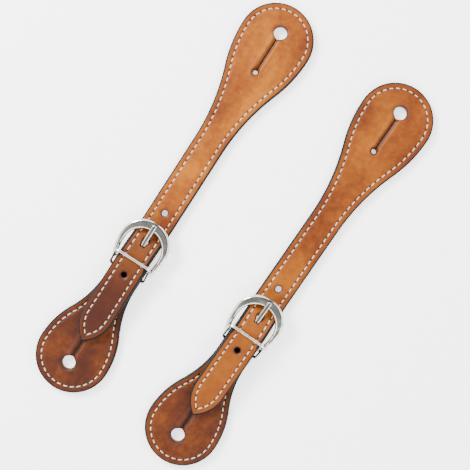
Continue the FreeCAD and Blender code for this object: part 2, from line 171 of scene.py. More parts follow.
class Bend:
    """A strap's path seen from the side: straight runs and the arcs that join them."""

    def __init__(self, corners, start):
        self.runs = []
        points = [Vector(corner[:2]) for corner in corners]
        at = points[0]
        for index in range(1, len(points) - 1):
            back = (points[index - 1] - points[index]).normalized()
            ahead = (points[index + 1] - points[index]).normalized()
            half = back.angle(ahead) / 2
            reach = corners[index][2] / math.tan(half)
            side = 1 if back.cross(ahead) < 0 else -1
            entry = points[index] + back * reach
            self.add_line(at, entry)
            turn = side * (math.pi - 2 * half)
            heading = math.atan2(-back.y, -back.x)
            self.runs.append((entry, heading, turn, corners[index][2] * abs(turn)))
            at = points[index] + ahead * reach
        self.add_line(at, points[-1])
        self.start = start

    def add_line(self, start, end):
        step = end - start
        if step.length > SHORTEST_RUN:
            self.runs.append((start, math.atan2(step.y, step.x), 0.0, step.length))

    def at(self, travel):
        """Place and heading after some length along the path."""
        travel -= self.start
        step = 0
        while step < len(self.runs) - 1 and travel > self.runs[step][3]:
            travel -= self.runs[step][3]
            step += 1
        place, heading, turn, length = self.runs[step]
        if turn == 0.0 or length < TINY:
            return place + Vector((math.cos(heading), math.sin(heading))) * travel, heading
        radius = length / turn
        now = heading + travel / radius
        return place + radius * Vector((math.sin(now) - math.sin(heading),
                                        math.cos(heading) - math.cos(now))), now


def columns(half_width):
    """Places across half a strap: close together at the edge and along the middle."""
    full = max(half_width, NARROWEST_FULL_GRID)
    inner = CENTRE_COLUMNS[-1]
    outer = full - EDGE_COLUMNS[-1]
    places = list(CENTRE_COLUMNS)
    for index in range(1, MIDDLE_COLUMNS + 1):
        places.append(inner + (outer - inner) * index / (MIDDLE_COLUMNS + 1))
    places += [full - inset for inset in reversed(EDGE_COLUMNS)]
    return [place * half_width / full for place in places]


def nearest_edge(edge):
    """A finder for the distance from a point in plan to the strap's outline."""
    finder = kdtree.KDTree(2 * len(edge))
    for index, point in enumerate(edge):
        finder.insert((point.x, point.y, 0), 2 * index)
        finder.insert((-point.x, point.y, 0), 2 * index + 1)
    finder.balance()
    return finder


def edge_distance(finder, edge, x, y):
    """How far a point in plan lies inside the outline, measured to its nearest chord."""
    spot = Vector((abs(x), y))
    index = finder.find((spot.x, spot.y, 0))[1] // 2
    best = (edge[index] - spot).length
    for other in (index - 1, index + 1):
        if 0 <= other < len(edge):
            chord = edge[other] - edge[index]
            share = (spot - edge[index]).dot(chord) / chord.length_squared
            nearest = edge[index] + chord * max(0.0, min(1.0, share))
            best = min(best, (nearest - spot).length)
    return best


def rolled(distance, radius):
    """How far an edge of a radius falls away at a distance in from the outline."""
    if distance >= radius:
        return 0.0
    return radius - math.sqrt(max(0.0, radius ** 2 - (radius - distance) ** 2))


def hollow(distance, half_width):
    """A smooth trough's share of its depth, 1 at its middle and 0 outside it."""
    if abs(distance) >= half_width:
        return 0.0
    return 0.5 + 0.5 * math.cos(math.pi * distance / half_width)


def keyhole_distance(x, y, hole_y, towards_neck):
    """Distances out from a spur button's hole, from the slit's round end and from the slit."""
    along = (y - hole_y) * towards_neck
    to_hole = math.hypot(x, along) - BUTTON_HOLE_RADIUS
    to_slit_end = math.hypot(x, along - SLIT_LENGTH) - SLIT_END_RADIUS
    past_slit = max(0.0, -along, along - SLIT_LENGTH)
    to_slit = math.hypot(x, past_slit) - SLIT_HALF
    return to_hole, to_slit_end, to_slit


def stitch_line(edge, inset, finish_at=None):
    """The right-hand half of a row of stitches, a set distance in from the outline."""
    line = []
    for index in range(len(edge)):
        before, after = edge[max(index - 1, 0)], edge[min(index + 1, len(edge) - 1)]
        heading = (after - before).normalized()
        point = edge[index] + Vector((heading.y, -heading.x)) * inset
        if point.x < 0 and line:
            break
        if finish_at is not None and point.y > finish_at:
            line.append(Vector((point.x, finish_at)))
            break
        line.append(Vector((max(point.x, 0.0), point.y)))
    line.append(Vector((0.0, line[-1].y)))
    return line


def spaced(line, pitch):
    """Places and headings of equal stitches along a line, and the awl holes between them."""
    lengths = [0.0]
    for before, after in zip(line, line[1:]):
        lengths.append(lengths[-1] + (after - before).length)
    count = max(1, round(lengths[-1] / pitch))
    marks = []
    step = 0
    for index in range(2 * count + 1):
        travel = lengths[-1] * index / (2 * count)
        while step < len(line) - 2 and lengths[step + 1] < travel:
            step += 1
        span = line[step + 1] - line[step]
        share = (travel - lengths[step]) / max(TINY, lengths[step + 1] - lengths[step])
        marks.append((line[step] + span * share, math.atan2(span.y, span.x)))
    return marks[1::2], marks[0::2]


def point_finder(points):
    """A finder for the nearest of some points in plan, right half only."""
    finder = kdtree.KDTree(len(points))
    for index, point in enumerate(points):
        finder.insert((point.x, point.y, 0), index)
    finder.balance()
    return finder


# How far each tool drags the face down or raises a lip beside it, and how far that spreads.
HOLE_DRAG, HOLE_DRAG_SPREAD = 0.55, 0.6
SLIT_END_DRAG, SLIT_END_DRAG_SPREAD = 0.9, 0.9
SLIT_DRAG, SLIT_DRAG_SPREAD = 1.1, 0.95
SLIT_LIP, SLIT_LIP_CREST, SLIT_LIP_SPREAD = 0.42, 2.3, 0.8
HOLE_LIP, HOLE_LIP_CREST, HOLE_LIP_SPREAD = 0.22, 1.8, 0.7
PUNCH_DRAG, PUNCH_DRAG_SPREAD = 0.6, 0.75
PUNCH_LIP, PUNCH_LIP_CREST, PUNCH_LIP_SPREAD = 0.16, 1.7, 0.6
PUNCH_BURNISH_SPREAD = 0.8


def beside(distance, spread):
    """1 at a tool's cut and inside it, dying away outside it."""
    return math.exp(-(max(distance, 0.0) / spread) ** 2)


def swell(distance, crest, spread):
    """1 at a lip's crest, dying away on both sides."""
    return math.exp(-((distance - crest) / spread) ** 2)


def relief(x, y, inset, hole_y, towards_neck, holes, awls):
    """How far tools have pressed the leather's face down, and how hard they burnished it."""
    depth = CHANNEL_DEPTH * hollow(inset - STITCH_INSET, CHANNEL_HALF)
    pressed = beside(awls.find((abs(x), y, 0))[2], AWL_RADIUS)
    depth += AWL_DEPTH * pressed
    to_hole, to_slit_end, to_slit = keyhole_distance(x, y, hole_y, towards_neck)
    for distance, drag, spread in ((to_hole, HOLE_DRAG, HOLE_DRAG_SPREAD),
                                   (to_slit_end, SLIT_END_DRAG, SLIT_END_DRAG_SPREAD),
                                   (to_slit, SLIT_DRAG, SLIT_DRAG_SPREAD)):
        depth += drag * beside(distance, spread)
        pressed = max(pressed, beside(distance, spread))
    depth -= SLIT_LIP * swell(to_slit, SLIT_LIP_CREST, SLIT_LIP_SPREAD)
    depth -= HOLE_LIP * swell(min(to_hole, to_slit_end), HOLE_LIP_CREST, HOLE_LIP_SPREAD)
    for hole in holes:
        to_punched = math.hypot(x, y - hole) - ADJUSTING_HOLE_RADIUS
        depth += PUNCH_DRAG * beside(to_punched, PUNCH_DRAG_SPREAD)
        depth -= PUNCH_LIP * swell(to_punched, PUNCH_LIP_CREST, PUNCH_LIP_SPREAD)
        pressed = max(pressed, beside(to_punched, PUNCH_BURNISH_SPREAD))
    return depth, pressed


def slot_cutter(start, start_radius, end, end_radius, slit_half):
    """A punch for two round holes on the middle line and the slit that joins them."""
    bm = bmesh.new()
    meet = math.asin(slit_half / start_radius)
    small = math.asin(slit_half / end_radius)
    towards = math.copysign(1.0, end - start)
    far = abs(end - start)
    points = arc_points((0, 0), start_radius, math.pi / 2 + meet, 5 * math.pi / 2 - meet,
                        PUNCH_STEP)
    points.append(Vector((slit_half, start_radius * math.cos(meet))))
    points += arc_points((0, far), end_radius, small - math.pi / 2,
                         3 * math.pi / 2 - small, PUNCH_STEP)
    points.append(Vector((-slit_half, far - end_radius * math.cos(small))))
    corners = [bm.verts.new((p.x, start + p.y * towards, -PUNCH_OVERRUN)) for p in points]
    bm.faces.new(corners)
    raised = bmesh.ops.extrude_face_region(bm, geom=bm.faces[:])
    lifted = [item for item in raised["geom"] if isinstance(item, bmesh.types.BMVert)]
    bmesh.ops.translate(bm, vec=(0, 0, STRAP_THICKNESS + 2 * PUNCH_OVERRUN), verts=lifted)
    bmesh.ops.recalc_face_normals(bm, faces=bm.faces[:])
    return bm


def keyhole_cutter(hole_y, towards_neck, slit_half):
    """A punch for a spur button's hole, its slit and the slit's round end."""
    return slot_cutter(hole_y, BUTTON_HOLE_RADIUS, hole_y + towards_neck * SLIT_LENGTH,
                       SLIT_END_RADIUS, slit_half)


def punch_cutter(hole_y):
    """A round punch for an adjusting hole."""
    bm = bmesh.new()
    bmesh.ops.create_cone(bm, cap_ends=True, segments=PUNCH_SEGMENTS,
                          radius1=ADJUSTING_HOLE_RADIUS, radius2=ADJUSTING_HOLE_RADIUS,
                          depth=STRAP_THICKNESS + 2 * PUNCH_OVERRUN,
                          matrix=Matrix.Translation((0, hole_y, STRAP_THICKNESS / 2)))
    return bm


def punched(bm, cutters):
    """The flat leather with every punch driven through it."""
    mesh = bpy.data.meshes.new("blank")
    bm.to_mesh(mesh)
    bm.free()
    blank = bpy.data.objects.new("blank", mesh)
    bpy.context.scene.collection.objects.link(blank)
    tools = []
    for cutter in cutters:
        tool_mesh = bpy.data.meshes.new("punch")
        cutter.to_mesh(tool_mesh)
        cutter.free()
        tool = bpy.data.objects.new("punch", tool_mesh)
        bpy.context.scene.collection.objects.link(tool)
        cut = blank.modifiers.new("punch", "BOOLEAN")
        cut.operation = "DIFFERENCE"
        cut.solver = "EXACT"
        cut.object = tool
        tools.append(tool)
    bpy.context.view_layer.update()
    evaluated = blank.evaluated_get(bpy.context.evaluated_depsgraph_get())
    result = bmesh.new()
    result.from_mesh(evaluated.to_mesh())
    evaluated.to_mesh_clear()
    for spare in [blank] + tools:
        bpy.data.objects.remove(spare)
    return result


def blank(rows, low_face, high_face):
    """A closed flat layer of leather: two grids, one above the other, joined at their rims.
    rows are (y, half width); a face gives the height at (x, y)."""
    bm = bmesh.new()
    row_columns = [columns(half_width) for _, half_width in rows]
    across = 2 * len(row_columns[0]) - 1
    for face in (low_face, high_face):
        grid = bmesh.ops.create_grid(bm, x_segments=across - 1, y_segments=len(rows) - 1,
                                     size=1.0)["verts"]
        for vert in grid:
            row = round((vert.co.y + 1) / 2 * (len(rows) - 1))
            column = round((vert.co.x + 1) / 2 * (across - 1)) - across // 2
            x, y = math.copysign(row_columns[row][abs(column)], column), rows[row][0]
            vert.co = Vector((x, y, face(x, y)))
    rims = [edge for edge in bm.edges if edge.is_boundary]
    bmesh.ops.bridge_loops(bm, edges=rims)
    bmesh.ops.recalc_face_normals(bm, faces=bm.faces[:])
    return bm


def painted_and_bent(bm, paint, bend):
    """Paints each point's dye and painted shade, burnish, tail share and rub while flat, and then
    bends it.
    """
    layers = [bm.verts.layers.float.new(name) for name in ("dye", "burnish", "tail", "rubbed")]
    for vert in bm.verts:
        for layer, value in zip(layers, paint(vert.co.x, vert.co.y)):
            vert[layer] = value
    for vert in bm.verts:
        vert.co = bend(vert.co)
    return bm


class Path:
    """A bent line seen from the side, looked up by place in plan."""

    def __init__(self, corners):
        path = Bend(corners, 0.0)
        run = sum(piece[3] for piece in path.runs)
        self.profile = [path.at(run * index / PATH_SAMPLES)
                        for index in range(PATH_SAMPLES + 1)]

    def at_plan(self, y):
        low, high = 0, PATH_SAMPLES
        while high - low > 1:
            middle = (low + high) // 2
            if self.profile[middle][0].x > y:
                high = middle
            else:
                low = middle
        (before, heading), (after, _) = self.profile[low], self.profile[high]
        share = (y - before.x) / (after.x - before.x)
        return before.y + (after.y - before.y) * share, heading

    def bend(self, flat):
        """Lays a flat point on the line by its place in plan, square to the line."""
        z, heading = self.at_plan(flat.y)
        return Vector((flat.x, flat.y - flat.z * math.sin(heading),
                       z + flat.z * math.cos(heading)))

    def unbend(self, placed):
        """The flat point that the bend would bring to this place."""
        y = placed.y
        for _ in range(UNBEND_STEPS):
            z, heading = self.at_plan(y)
            height = (placed.z - z) / math.cos(heading)
            y = placed.y + height * math.sin(heading)
        return Vector((placed.x, y, height))


long_outline = long_edge()
long_finder = nearest_edge(long_outline)
long_rows = [(point.y, point.x) for point in reversed(long_outline)]
long_hole_y = LONG_END - BUTTON_HOLE_INSET
long_stitches, long_awls = spaced(stitch_line(long_outline, STITCH_INSET), STITCH_PITCH)
long_awl_finder = point_finder([mark[0] for mark in long_awls])
long_path = Path(LONG_UNDERSIDE)


def long_inset(x, y):
    return edge_distance(long_finder, long_outline, x, y)


def long_relief(x, y, inset):
    return relief(x, y, inset, long_hole_y, -1, ADJUSTING_HOLES, long_awl_finder)


def long_top_face(x, y):
    inset = long_inset(x, y)
    return STRAP_THICKNESS - long_relief(x, y, inset)[0] - rolled(inset, EDGE_ROUND)


def long_top_under(x, y):
    return LINING_THICKNESS + SEAM_GAP + rolled(long_inset(x, y), SEAM_ROUND)


def long_lining_face(x, y):
    return LINING_THICKNESS - SEAM_GAP - rolled(long_inset(x, y), SEAM_ROUND)


def lining_under(inset):
    return rolled(inset, EDGE_ROUND) + CHANNEL_DEPTH * hollow(inset - STITCH_INSET, CHANNEL_HALF)


def long_lining_under(x, y):
    return lining_under(long_inset(x, y))


# Finishes are written as sums of shader values. A Signal is one such value.
class Signal:
    """A shader value that Python's operators work on, each adding its Math node."""

    def __init__(self, finish, socket):
        self.finish = finish
        self.socket = socket

    def maths(self, operation, first, second, clamp=False):
        settings = {"operation": operation, "use_clamp": clamp}
        return self.finish.node("ShaderNodeMath", settings, {0: first, 1: second})

    def __add__(self, other):
        return self.maths("ADD", self, other)

    def __radd__(self, other):
        return self.maths("ADD", other, self)

    def __sub__(self, other):
        return self.maths("SUBTRACT", self, other)

    def __rsub__(self, other):
        return self.maths("SUBTRACT", other, self)

    def __mul__(self, other):
        return self.maths("MULTIPLY", self, other)

    def __rmul__(self, other):
        return self.maths("MULTIPLY", other, self)

    def within(self):
        """The value held between 0 and 1."""
        return self.maths("ADD", self, 0.0, clamp=True)

    def over(self, low, high):
        """0 where the value is at most low, 1 where it is at least high."""
        return ((self - low) * (1.0 / (high - low))).within()


class Finish:
    """A material under construction: one method adds any node and links its sockets."""

    def __init__(self, name):
        self.material = bpy.data.materials.new(name)
        self.material.use_nodes = True
        self.tree = self.material.node_tree
        self.tree.nodes.clear()
        self.shader = self.tree.nodes.new("ShaderNodeBsdfPrincipled")
        output = self.tree.nodes.new("ShaderNodeOutputMaterial")
        self.tree.links.new(self.shader.outputs[0], output.inputs[0])
        place = self.tree.nodes.new("ShaderNodeTexCoord")
        self.place = Signal(self, place.outputs["Object"])

    def set(self, socket, value):
        """Links a shader value to a socket, or sets the socket to a number or colour."""
        if isinstance(value, Signal):
            self.tree.links.new(value.socket, socket)
        else:
            socket.default_value = value

    def node(self, kind, settings, inputs, output=0):
        """Any node: its settings first, then its inputs, and the wanted output."""
        added = self.tree.nodes.new(kind)
        for name, value in settings.items():
            if name == "stops":
                while len(added.color_ramp.elements) < len(value):
                    added.color_ramp.elements.new(0.5)
                for element, (position, colour) in zip(added.color_ramp.elements, value):
                    element.position = position
                    element.color = (*colour, 1.0)
            else:
                setattr(added, name, value)
        for name, value in inputs.items():
            self.set(added.inputs[name], value)
        return Signal(self, added.outputs[output])

    def noise(self, scale, detail=4.0, roughness=0.55, vector=None):
        sockets = {"Vector": vector or self.place, "Scale": scale, "Detail": detail,
                   "Roughness": roughness}
        return self.node("ShaderNodeTexNoise", {}, sockets)

    def stretched(self, along):
        """The place on the piece, drawn out so that a pattern runs along the strap."""
        return self.node("ShaderNodeMapping", {},
                         {"Vector": self.place, "Scale": (1.0, along, 1.0)})

    def mix(self, share, first, second):
        """Two colours, the second one's share given by a value."""
        return self.node("ShaderNodeMix", {"data_type": "RGBA"},
                         {"Factor": share, 6: first, 7: second}, 2)

    def attribute(self, name):
        """A value painted on the piece's own points."""
        return self.node("ShaderNodeAttribute", {"attribute_name": name}, {}, 2)

    def bump(self, height, distance, strength, under=None):
        inputs = {"Height": height, "Distance": distance, "Strength": strength}
        if under:
            inputs["Normal"] = under
        return self.node("ShaderNodeBump", {}, inputs)

    def surface(self, **sockets):
        """The finished material, its shader's sockets named with underscores."""
        for name, value in sockets.items():
            self.set(self.shader.inputs[name.replace("_", " ")], value)
        return self.material


DYE_REACH = 0.75
DYE_FADE = 0.4
TAIL_STARTS = 40.0
TAIL_FULL = -18.0
RUB_REACH = 3.2
# Painted shade: inside the buckle, over this span, the edges' black reaches this much wider.
BUCKLE_SHADE_SPAN = (1.0, 16.0)
BUCKLE_SHADE_WIDTH = 0.7
BUCKLE_SHADE_EASE = 1.0
BUCKLE_SHADE_FADE = 3.0
BURNT = (0.30, 0.26, 0.24)
EDGE_BLACK = (0.0012, 0.0011, 0.0010, 1.0)


def faded(distance, reach, fade):
    """1 up to a distance, falling to 0 beyond it."""
    return 1.0 - min(1.0, max(0.0, (distance - reach) / fade))


def edge_dye_and_shade(inset, extra=0.0):
    """1 where the rubbed edge is dyed black, and over any extra reach of painted shade, fading
    out onto the face.
    """
    return faded(inset, DYE_REACH + extra, DYE_FADE)


def long_paint(x, y):
    """Edge dye with painted shade inside the buckle, tool burnish, how far along the tail a point
    lies, and rub by the edge.
    """
    inset = long_inset(x, y)
    tail = min(1.0, max(0.0, (TAIL_STARTS - y) / (TAIL_STARTS - TAIL_FULL)))
    outside = max(BUCKLE_SHADE_SPAN[0] - y, y - BUCKLE_SHADE_SPAN[1])
    dye = edge_dye_and_shade(inset, BUCKLE_SHADE_WIDTH * faded(outside, -BUCKLE_SHADE_EASE, BUCKLE_SHADE_FADE))
    return dye, long_relief(x, y, inset)[1], tail, faded(inset, 0.0, RUB_REACH)


def leather(name, light, mid, dark, tail_tone, tail_share):
    """Waxed russet bridle leather: uneven dye, fine grain, pores and black rubbed edges, the
    black painted wider as shade inside the buckle.
    """
    finish = Finish(name)
    dye = finish.attribute("dye")
    burnish = finish.attribute("burnish")
    tail = finish.attribute("tail")
    cloud = finish.noise(38.0, 5.0, 0.6)
    streak = finish.noise(60.0, 4.0, 0.6, finish.stretched(0.22))
    mottle = finish.noise(260.0, 5.0, 0.65)
    tone = (cloud * 0.5 + streak * 0.3 + mottle * 0.2).over(0.41, 0.59)
    colour = finish.node("ShaderNodeValToRGB", {"stops": ((0.0, dark), (0.5, mid), (1.0, light))},
                         {"Fac": tone})
    colour = finish.mix(tail * tail_share * (0.65 + 0.5 * cloud), colour, (*tail_tone, 1.0))
    grain = finish.node("ShaderNodeTexVoronoi", {"feature": "F1"},
                        {"Vector": finish.place, "Scale": 1900.0})
    pores = finish.noise(3200.0, 2.0, 0.5)
    specks = 1.0 - pores.over(0.3, 0.38)
    colour = finish.mix(specks * 0.3, colour, (*dark, 1.0))
    rubbed = finish.attribute("rubbed")
    colour = finish.mix(rubbed * (0.25 + 0.5 * cloud), colour, (*dark, 1.0))
    burnt = tuple(channel * share for channel, share in zip(dark, BURNT))
    colour = finish.mix(burnish * 0.9, colour, (*burnt, 1.0))
    wander = (finish.noise(700.0, 3.0) - 0.5) * 1.2 * dye * (1.0 - dye)
    # The black is the edges' dye, and inside the buckle also painted shade where it reaches
    # wider.
    edge = (dye + wander).over(0.3, 0.7)
    colour = finish.mix(edge, colour, EDGE_BLACK)
    height = grain * 0.6 + pores * 0.5 + mottle * 0.8
    roughness = 0.46 + 0.16 * mottle + 0.08 * pores - 0.08 * burnish + 0.2 * edge
    return finish.surface(Base_Color=colour, Roughness=roughness, Specular_IOR_Level=0.18,
                          Coat_Weight=0.05, Coat_Roughness=0.25,
                          Normal=finish.bump(height, 0.00012, 0.5))


strap_leather = {
    "left": leather("tan_leather_left", light=(0.26, 0.075, 0.001), mid=(0.175, 0.042, 0.0004),
                    dark=(0.10, 0.018, 0.0002), tail_tone=(0.023, 0.0024, 0.0001),
                    tail_share=1.05),
    "right": leather("tan_leather_right", light=(0.20, 0.053, 0.0004),
                     mid=(0.135, 0.030, 0.0002), dark=(0.08, 0.013, 0.0001),
                     tail_tone=(0.15, 0.038, 0.0004), tail_share=0.5),
}
lining_leather = leather("lining_leather", light=(0.30, 0.11, 0.035), mid=(0.24, 0.08, 0.024),
                         dark=(0.16, 0.05, 0.015), tail_tone=(0.2, 0.06, 0.02),
                         tail_share=0.2)

# Where the buckle's bar, crown and tongue meet the strap.
BAR_HEIGHT = 3.35
FRAME_TILT = math.radians(13.0)
TONGUE_ANGLE = math.radians(12.4)
PASSAGE_HALF = 1.7
PASSAGE_BOTTOM = 0.9
PASSAGE_TOP = 3.7
PASSAGE_END = 17.0
PASSAGE_CUTS = 24
CROWN_INNER = (11.5, 11.2)
CROWN_OUTER = (13.5, 15.8)
SEAT_FLOOR = -2.1
SEAT_SHOULDER = 1.6
SEAT_SIDE = 4.0


def tilted(place, angle):
    """A place as seen in a plane that slopes up from the buckle bar, or back again."""
    return Matrix.Rotation(angle, 4, "X") @ place


def tongue_passage():
    """The slanting way that the tongue wears through the leather, laid out flat."""
    bm = bmesh.new()
    bmesh.ops.create_cube(bm, size=1.0)
    lengthways = [edge for edge in bm.edges
                  if abs(edge.verts[0].co.y - edge.verts[1].co.y) > 0.5]
    bmesh.ops.subdivide_edges(bm, edges=lengthways, cuts=PASSAGE_CUTS, use_grid_fill=True)
    for vert in bm.verts:
        drawn = Vector((vert.co.x * 2 * PASSAGE_HALF, (vert.co.y + 0.5) * PASSAGE_END,
                        PASSAGE_BOTTOM + (vert.co.z + 0.5) * (PASSAGE_TOP - PASSAGE_BOTTOM)))
        lifted = tilted(drawn, TONGUE_ANGLE) + Vector((0, 0, BAR_HEIGHT))
        vert.co = long_path.unbend(lifted)
    bmesh.ops.recalc_face_normals(bm, faces=bm.faces[:])
    return bm


def under_crown(flat):
    """Bends the top leather, its edges pressed down where the buckle's crown bears."""
    placed = long_path.bend(flat)
    seen = tilted(placed - Vector((0, 0, BAR_HEIGHT)), -FRAME_TILT)
    if not SEAT_SIDE < abs(seen.x) < CROWN_INNER[1]:
        return placed
    near, far = [centre + math.sqrt(radius ** 2 - seen.x ** 2)
                 for centre, radius in (CROWN_INNER, CROWN_OUTER)]
    beyond = max(near - seen.y, seen.y - far, 0.0)
    seen.z = min(seen.z, SEAT_FLOOR + SEAT_SHOULDER * beyond)
    return tilted(seen, FRAME_TILT) + Vector((0, 0, BAR_HEIGHT))


for side in SIDES:
    for name, node, faces, bend, slot, finish in (
            ("long_strap_top", "long_strap_leather", (long_top_under, long_top_face),
             under_crown, "tan_leather", strap_leather[side]),
            ("long_strap_back", "long_strap_lining", (long_lining_under, long_lining_face),
             long_path.bend, "lining_leather", lining_leather)):
        slit_half = SLIT_HALF if name == "long_strap_top" else KNIFE_CUT_HALF
        long_punches = [keyhole_cutter(long_hole_y, -1, slit_half), tongue_passage()]
        long_punches += [punch_cutter(y) for y in ADJUSTING_HOLES]
        layer = punched(blank(long_rows, *faces), long_punches)
        show(painted_and_bent(layer, long_paint, bend), name, side, "long_strap", node,
             slot, finish)


# Stitching of the long straps: one heavy ivory waxed thread, two plies twisted, sewn round
# the outline a finger's edge in. Each stitch lies in the pressed channel and dives into an
# awl hole at both ends; the lining shows the same row.
THREAD_RADIUS = 0.32
STITCH_SHOWN = 2.9
STITCH_RINGS = 7
STITCH_SIDES = 8
STITCH_ARCH = 0.22
STITCH_DIVE = 0.75
STITCH_SLANT = math.radians(4.0)
PLY_SWELL = 0.13
PLY_TURNS = 1.1
STITCH_RIDE = -0.05
STITCH_SLIM = 0.35
LOW_STITCH_LIFT = 0.1


def one_stitch():
    """A single stitch along X: twisted, thickest in the middle, its ends going down."""
    bm = bmesh.new()
    bmesh.ops.create_cone(bm, cap_ends=True, segments=STITCH_SIDES, radius1=THREAD_RADIUS,
                          radius2=THREAD_RADIUS, depth=STITCH_SHOWN,
                          matrix=Matrix.Rotation(math.pi / 2, 4, "Y"))
    lengthways = [edge for edge in bm.edges
                  if abs(edge.verts[0].co.x - edge.verts[1].co.x) > STITCH_SHOWN / 2]
    bmesh.ops.subdivide_edges(bm, edges=lengthways, cuts=STITCH_RINGS)
    for vert in bm.verts:
        share = 2 * vert.co.x / STITCH_SHOWN
        around = math.atan2(vert.co.z, vert.co.y)
        ply = 1 + PLY_SWELL * math.cos(2 * (around - share * PLY_TURNS * math.pi))
        slim = 1 - STITCH_SLIM * share ** 4
        vert.co.y *= ply * slim
        vert.co.z *= ply * slim
        vert.co.z += STITCH_ARCH * (1 - share ** 2) - STITCH_DIVE * share ** 6
    stitch = bpy.data.meshes.new("one_stitch")
    bm.to_mesh(stitch)
    bm.free()
    return stitch


def sew(bm, marks, height, bend, below=False, both_halves=True):
    """Adds a stitch at each mark, and at its mirror image, and lays them on the strap."""
    for mirrored in (1, -1) if both_halves else (1,):
        for place, heading in marks:
            start = len(bm.verts)
            bm.from_mesh(single_stitch)
            bm.verts.ensure_lookup_table()
            added = bm.verts[start:]
            turn = Matrix.Rotation(heading + STITCH_SLANT, 4, "Z")
            if below:
                turn = turn @ Matrix.Rotation(math.pi, 4, "X")
            for vert in added:
                spot = turn @ vert.co
                vert.co = bend(Vector(((spot.x + place.x) * mirrored, spot.y + place.y,
                                       spot.z + height)))
    return bm


def waxed_thread():
    """Ivory thread with a little leather dust rubbed into its wax."""
    finish = Finish("ivory_thread")
    fibre = finish.noise(2600.0, 3.0, 0.6)
    soil = finish.noise(110.0, 4.0, 0.6).over(0.45, 0.75)
    colour = finish.mix(soil * 0.5, (0.58, 0.45, 0.29, 1.0), (0.34, 0.20, 0.10, 1.0))
    colour = finish.mix(fibre.over(0.5, 0.7) * 0.25, colour, (0.36, 0.24, 0.13, 1.0))
    return finish.surface(Base_Color=colour, Roughness=0.62, Sheen_Weight=0.15,
                          Normal=finish.bump(fibre, 0.00012, 0.6))


single_stitch = one_stitch()
ivory_thread = waxed_thread()
TOP_STITCH_HEIGHT = STRAP_THICKNESS - CHANNEL_DEPTH + STITCH_RIDE
LOW_STITCH_HEIGHT = CHANNEL_DEPTH - STITCH_RIDE + STITCH_ARCH + LOW_STITCH_LIFT
for side in SIDES:
    rows = sew(bmesh.new(), long_stitches, TOP_STITCH_HEIGHT, long_path.bend)
    rows = sew(rows, long_stitches, LOW_STITCH_HEIGHT, long_path.bend, below=True)
    show(rows, "long_strap_stitches", side, "long_strap", "long_strap_thread", "thread",
         ivory_thread)


# Short straps: the same leather, dyed a redder brown, with the same pressed button hole.
# The top leather runs on past the lining, is pared thin, folds round the buckle bar with a
# slot for the tongue, and comes back underneath to be caught in the stitching.
SHORT_END = -84.8
SHORT_FLANK_LENGTH = 50.0
SHORT_CONVEX_RADIUS = 50.0
NECK_HALF_WIDTH = 9.9
NECK_OVERRUN = 8.0
PATH_START = -88.8
RAMP_START = -40.0
RAMP_BEND = 60.0
LINING_FRONT = -10.0
SKIVE_END = -37.0
FOLD_BORE = 1.7
FOLD_THICKNESS = 1.65
FOLD_OUTER = FOLD_BORE + FOLD_THICKNESS
PARE_START = -16.0
SLOT_HALF = 2.0
SLOT_BACK = -4.4
FOLD_STEP = 0.5
STITCH_FRONT = -11.3
TACK_ROW = -14.0
TACK_HALF = 5.4
SOFT_CORNER = 8.0
RETURN_LEAST_HEIGHT = 0.15
SKIVED_LEAST = 0.12
SKIVED_GAP = 0.03
FOLD_SHADE_FADE = 6.0
FOLD_CHANNEL_SHARE = 0.4
EDGE_ROUND_SHARE = 0.8
PRESSED_SHARE = 0.5
SEAM_ROUND_SHARE = 0.15


def slope_to_fold(y, z, radius):
    """Slope of the leather's face from a point up to the round of the fold."""
    rise = z - BAR_HEIGHT
    return math.asin(radius / math.hypot(y, rise)) - math.atan2(rise, -y)


ramp = slope_to_fold(RAMP_START, STRAP_THICKNESS, FOLD_OUTER)
climb = (LINING_FRONT - RAMP_START) * math.tan(ramp)
inner_height = LINING_THICKNESS + climb
pull = slope_to_fold(LINING_FRONT, inner_height, FOLD_BORE)
fold_crest = inner_height + (FOLD_BORE - LINING_FRONT) * math.tan(pull)
fold_foot = BAR_HEIGHT - FOLD_BORE
inner_corners = ((PATH_START, LINING_THICKNESS, 0.0), (RAMP_START, LINING_THICKNESS, RAMP_BEND),
                 (LINING_FRONT, inner_height, SOFT_CORNER), (FOLD_BORE, fold_crest, FOLD_BORE),
                 (FOLD_BORE, fold_foot, FOLD_BORE), (0.0, fold_foot, 0.0))
top_path = Bend(inner_corners, PATH_START)
top_length = sum(run[3] for run in top_path.runs)
fold_end = PATH_START + top_length


def short_edge():
    """The short strap's right-hand edge, from its round end on past the fold."""
    points, neck_y = teardrop_points(SHORT_END + END_RADIUS, 1, SHORT_FLANK_LENGTH,
                                     SHORT_CONVEX_RADIUS, NECK_HALF_WIDTH)
    return points + line_points((NECK_HALF_WIDTH, neck_y), (NECK_HALF_WIDTH, NECK_OVERRUN),
                                FOLD_STEP)


short_outline = short_edge()
short_finder = nearest_edge(short_outline)
short_hole_y = SHORT_END + BUTTON_HOLE_INSET
short_stitches, short_awls = spaced(stitch_line(short_outline, -STITCH_INSET, STITCH_FRONT),
                                    STITCH_PITCH)
tack_stitches, _ = spaced([Vector((-TACK_HALF, TACK_ROW)), Vector((TACK_HALF, TACK_ROW))],
                          STITCH_PITCH)
short_awl_finder = point_finder([mark[0] for mark in short_awls])


def short_half_width(y):
    """Half the short strap's width at a place along it."""
    for before, after in zip(short_outline, short_outline[1:]):
        if before.y <= y <= after.y:
            share = (y - before.y) / max(TINY, after.y - before.y)
            return before.x + (after.x - before.x) * share
    return NECK_HALF_WIDTH


